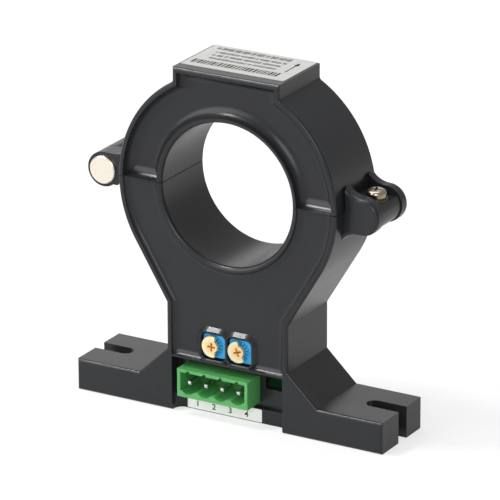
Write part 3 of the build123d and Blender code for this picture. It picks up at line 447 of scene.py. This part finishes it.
def add_bar(mesh_edit, centre, size):
    """Adds a block to a bmesh."""
    place = Matrix.Translation(centre) @ Matrix.Diagonal((*size, 1.0))
    bmesh.ops.create_cube(mesh_edit, size=1.0, matrix=place)


# %% [markdown]
# The print on the head's label is four lines of words, the tallest first, over a row of stripes.
# Its letters are a few tenths of a millimetre wide, too small to read, so each one is a short
# bar, some of them lower than the others, with a wider space where a word ends. One seeded draw
# gives all the widths, so they come out the same each time.

# %% Print on the head label
# Each row: its middle from the label's back and its height, as shares of the label's width, then
# its start and end, as shares of the label's length.
TEXT_ROWS = ((0.13, 0.12, 0.07, 0.79), (0.30, 0.08, 0.11, 0.79), (0.44, 0.08, 0.12, 0.77),
             (0.58, 0.07, 0.14, 0.78))
STRIPE_ROW = (0.79, 0.17, 0.05, 0.90)
# Widths and spaces are shares of the label's length, and letter heights of the row's height.
LETTER_WIDTHS = (0.008, 0.014)
LETTER_HEIGHTS = (0.75, 1.0)
LETTER_SPACE = 0.008
WORD_SPACE = 0.022
WORD_END_CHANCE = 0.15
STRIPE_WIDTHS = (0.011, 0.015, 0.020)
STRIPE_SPACES = (0.015, 0.019)

label_low, label_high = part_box("top_label")
label_length = label_high.x - label_low.x
label_width = label_high.y - label_low.y
ink_z = label_high.z - INK / 2
print("head label:", round(label_length / MM, 2), "x", round(label_width / MM, 2), "mm")


def on_label(along, across):
    """Point on the head label, from shares of its length and of its width from the back."""
    return Vector((label_low.x + along * label_length, label_high.y - across * label_width, ink_z))


def ink_bar(mesh_edit, along, across, width, height):
    """Adds a bar that starts at along, with its middle at across."""
    add_bar(mesh_edit, on_label(along + width / 2, across),
            (width * label_length, height * label_width, INK))


draw = random.Random(4)
print_edit = bmesh.new()
for across, height, start, end in TEXT_ROWS:
    along = start
    while along < end:
        width = draw.uniform(*LETTER_WIDTHS)
        ink_bar(print_edit, along, across, width, height * draw.choice(LETTER_HEIGHTS))
        along += width + (WORD_SPACE if draw.random() < WORD_END_CHANCE else LETTER_SPACE)
across, height, start, end = STRIPE_ROW
along = start
while along < end:
    width = draw.choice(STRIPE_WIDTHS)
    ink_bar(print_edit, along, across, width, height)
    along += width + draw.choice(STRIPE_SPACES)
piece_from_edit(print_edit, "head_label_print", grey_ink, "upper_half")


# %% [markdown]
# The arrow beside the words shows which way the current flows through the ring. It is a shaft
# with a triangular head. A cone with three sides and straight walls is such a triangle: its
# middle stands a third of its height over its base.

# %% Arrow on the head label
ARROW_ALONG = 0.89
ARROW_ACROSS = (0.18, 0.64)
ARROW_HEAD_RADIUS = 0.9 * MM
ARROW_HEAD_LENGTH = 2.2 * MM
ARROW_SHAFT = 0.35 * MM

arrow_edit = bmesh.new()
tip, tail = on_label(ARROW_ALONG, ARROW_ACROSS[0]), on_label(ARROW_ALONG, ARROW_ACROSS[1])
shaft_end = tip.y - ARROW_HEAD_LENGTH
add_bar(arrow_edit, Vector((tip.x, (shaft_end + tail.y) / 2, ink_z)),
        (ARROW_SHAFT, shaft_end - tail.y, INK))
bmesh.ops.create_cone(
    arrow_edit, cap_ends=True, segments=3, radius1=1.0, radius2=1.0, depth=1.0,
    matrix=Matrix.Translation((tip.x, shaft_end + ARROW_HEAD_LENGTH / 3, ink_z))
    @ Matrix.Diagonal((ARROW_HEAD_RADIUS, ARROW_HEAD_LENGTH * 2 / 3, INK, 1.0)))
piece_from_edit(arrow_edit, "current_arrow_print", grey_ink, "upper_half")


# %% [markdown]
# The white strip numbers the header's four poles. Each number is a text curve, because the
# built-in font has the shapes already. It is made a mesh, and then turned upright in front of
# its pin. A small offset thickens its strokes, as the real print's are.

# %% Pole numbers
POLES = 4
NUMBER_HEIGHT = 1.7 * MM
# The built-in font's figures are about 1 / 1.4 of its size.
FONT_SIZE_TO_HEIGHT = 1.4
NUMBER_DROP = 0.35 * MM
NUMBER_BOLD = 0.05 * MM
strip_low, strip_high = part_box("terminal_label")


def pole_number(i):
    """One number, upright on the strip in front of its pin."""
    text = bpy.data.curves.new(f"number_{i}", "FONT")
    text.body = str(i)
    text.size = NUMBER_HEIGHT * FONT_SIZE_TO_HEIGHT
    text.extrude = INK / 2
    text.offset = NUMBER_BOLD
    text.align_x = "CENTER"
    text.align_y = "CENTER"
    source = bpy.data.objects.new(f"number_{i}", text)
    bpy.context.scene.collection.objects.link(source)
    bpy.context.view_layer.update()
    mesh = bpy.data.meshes.new_from_object(source)
    bpy.data.objects.remove(source)
    place = Vector((middle_of(f"terminal_pin_{i}").x, strip_low.y - INK / 2,
                    (strip_low.z + strip_high.z) / 2 - NUMBER_DROP))
    mesh.transform(Matrix.Translation(place) @ Matrix.Rotation(math.pi / 2, 4, "X"))
    place_piece(mesh, f"pole_number_{i}", black_ink, "lower_half")


for i in range(1, POLES + 1):
    pole_number(i)
print("numbers:", NUMBER_HEIGHT / MM, "mm high")


# %% [markdown]
# Each rotor has a brass wiper under its cross slot, which shows as a warm line at the bottom of
# the slot. The solids have the slot but no brass, so a thin cross lies just over the slot's
# floor. The rotor's front is its hub, which stands a little proud of the plate.

# %% Brass wipers in the rotors
WIPER_LENGTH = 2.3 * MM
WIPER_WIDTH = 0.42 * MM
WIPER_THICKNESS = 0.08 * MM
HUB_PROUD = 0.1 * MM
ROTOR_PLATE = 0.7 * MM
SPAN_TURN = math.radians(20)

wiper_brass = turned_metal("pressed_brass_wiper", bore_axis, "Y", "#c98f45", "#b87a38",
                           roughness=0.4, ring_mm=0.5)


def rotor_wiper(name, body, turn):
    """A cross of two bars in the rotor's slot, turned as the slot is."""
    front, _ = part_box(f"trimmer_{name}_rotor")
    x, _, z = joint_place(body)
    y = front.y + HUB_PROUD + ROTOR_PLATE - WIPER_THICKNESS / 2
    edit = bmesh.new()
    for side in (0, math.pi / 2):
        place = (Matrix.Translation((x, y, z)) @ Matrix.Rotation(side - turn, 4, "Y")
                 @ Matrix.Diagonal((WIPER_LENGTH, WIPER_THICKNESS, WIPER_WIDTH, 1.0)))
        bmesh.ops.create_cube(edit, size=1.0, matrix=place)
    piece_from_edit(edit, f"{name}_wiper", wiper_brass, body)


rotor_wiper("zero", "zero_rotor", 0.0)
rotor_wiper("span", "span_rotor", SPAN_TURN)


# %% [markdown]
# The sensor stands on a pale floor that runs off past the frame. More light on it would also
# bleach the sensor, so it shines by itself, but only where the camera, a reflection or a look
# through glass sees it. A share of its real shading stays, and with it the sensor's shadow.
# Reflections see it a little under white, as they would a lit table.

# %% Pale floor
FLOOR_SIZE = 8.0
SHADOW_SHARE = 0.35
FLOOR_GLOSS = 0.8


def brightest(tree, a, b):
    return add(tree, "ShaderNodeMath", {"operation": "MAXIMUM"}, i0=a, i1=b).outputs["Value"]


def studio_floor():
    edit = bmesh.new()
    bmesh.ops.create_grid(edit, x_segments=1, y_segments=1, size=FLOOR_SIZE / 2)
    mesh = bpy.data.meshes.new("floor")
    edit.to_mesh(mesh)
    edit.free()
    floor = bpy.data.objects.new("floor", mesh)
    bpy.context.scene.collection.objects.link(floor)
    material, tree, shader = new_material("pale_paper_floor", "#f4f4f4", roughness=0.9)
    path = add(tree, "ShaderNodeLightPath").outputs
    seen = brightest(tree, path["Is Camera Ray"], path["Is Transmission Ray"])
    seen = brightest(tree, seen, path["Is Glossy Ray"])
    share = add(tree, "ShaderNodeMath", {"operation": "MULTIPLY"}, i0=seen, i1=1 - SHADOW_SHARE)
    level = add(tree, "ShaderNodeMapRange", Value=path["Is Glossy Ray"], To_Min=1.0,
                To_Max=FLOOR_GLOSS)
    white = add(tree, "ShaderNodeEmission", Color=(1, 1, 1, 1), Strength=level.outputs["Result"])
    mix = add(tree, "ShaderNodeMixShader", Fac=share.outputs["Value"])
    tree.links.new(shader.outputs["BSDF"], mix.inputs[1])
    tree.links.new(white.outputs["Emission"], mix.inputs[2])
    tree.links.new(mix.outputs["Shader"], tree.nodes["Material Output"].inputs["Surface"])
    mesh.materials.append(material)
    print("floor:", FLOOR_SIZE, "m wide")


studio_floor()


# %% [markdown]
# Behind the floor the world shows plain white to the camera and through glass, and lights the
# sensor only weakly from all sides. Reflections see a level between the two, because the room
# over the real sensor was darker than its table: polished metal still shows a pale room, and
# the tops of the black feet stay dark.

# %% World
WORLD_LIGHT = 0.32
WORLD_GLOSS = 0.5


def studio_world():
    world = bpy.data.worlds.new("studio")
    bpy.context.scene.world = world
    world.use_nodes = True
    tree = world.node_tree
    path = add(tree, "ShaderNodeLightPath").outputs
    level = add(tree, "ShaderNodeMapRange", Value=path["Is Glossy Ray"], To_Min=WORLD_LIGHT,
                To_Max=WORLD_GLOSS)
    strength = add(tree, "ShaderNodeMapRange",
                   Value=brightest(tree, path["Is Camera Ray"], path["Is Transmission Ray"]),
                   To_Min=level.outputs["Result"], To_Max=1.0)
    background = tree.nodes["Background"]
    background.inputs["Color"].default_value = (1, 1, 1, 1)
    tree.links.new(strength.outputs["Result"], background.inputs["Strength"])
    print("world light:", WORLD_LIGHT, "and in reflections:", WORLD_GLOSS)


studio_world()


# %% [markdown]
# Five soft boxes light the sensor. A large one stands on the left, a wide one hangs overhead, and
# a fill beside the camera lights the pale parts that face it. A small bright one high on the left
# gives the thin highlights on the coves and collars, and a weak one behind lights the back. The
# world alone would light it too, but a black part shows its shape by what it mirrors.

# %% Lamps
AIM = Vector((0.0, 0.0, 0.05))
# Each lamp: its name, its place, its width and height in metres, and its power in watts.
SOFT_BOXES = (
    ("key_box", (-0.75, -0.75, 0.6), 1.0, 0.9, 9.0),
    ("top_box", (-0.2, 0.2, 1.2), 0.8, 0.8, 6.0),
    ("crest_box", (-0.59, -0.26, 1.16), 0.18, 0.18, 8.0),
    ("fill_box", (0.7, -1.3, 0.75), 0.8, 0.8, 8.0),
    ("back_box", (-1.0, 1.2, 0.5), 0.9, 0.5, 1.2),
)


def soft_box(name, place, width, height, power):
    light = bpy.data.lights.new(name, "AREA")
    light.shape = "RECTANGLE"
    light.size = width
    light.size_y = height
    light.energy = power
    lamp = bpy.data.objects.new(name, light)
    bpy.context.scene.collection.objects.link(lamp)
    lamp.location = place
    lamp.rotation_euler = (AIM - Vector(place)).to_track_quat("-Z", "Y").to_euler()


for box in SOFT_BOXES:
    soft_box(*box)
print("soft boxes:", len(SOFT_BOXES))


# %% [markdown]
# The camera stands where the photograph's did: a long lens from the front right, about twenty
# degrees above the table. Its place comes from a fit of the sensor's corners and circles, so it
# is built from its angles and its distance, and not pointed by a constraint.

# %% Camera
AZIMUTH = math.radians(30.19)
ELEVATION = math.radians(20.263)
ROLL = math.radians(-0.219)
DISTANCE = 1.22056
TARGET = Vector((0.000921, 0.0, 0.045892))
SENSOR_MM = 36.0
LENS_MM = 327.9
CLIP = (0.05, 20.0)

back = Vector((math.sin(AZIMUTH) * math.cos(ELEVATION), -math.cos(AZIMUTH) * math.cos(ELEVATION),
               math.sin(ELEVATION)))
right = Vector((math.cos(AZIMUTH), math.sin(AZIMUTH), 0.0))
up = back.cross(right)
rolled_right = right * math.cos(ROLL) + up * math.sin(ROLL)
rolled_up = up * math.cos(ROLL) - right * math.sin(ROLL)

lens = bpy.data.cameras.new("camera")
lens.sensor_width = SENSOR_MM
lens.lens = LENS_MM
lens.clip_start, lens.clip_end = CLIP
camera = bpy.data.objects.new("camera", lens)
bpy.context.scene.collection.objects.link(camera)
camera.matrix_world = Matrix.Translation(TARGET + back * DISTANCE) @ Matrix(
    (rolled_right, rolled_up, back)).transposed().to_4x4()
bpy.context.scene.camera = camera
bpy.context.scene.view_settings.view_transform = "Standard"
print("camera at", [round(v, 4) for v in camera.matrix_world.translation])
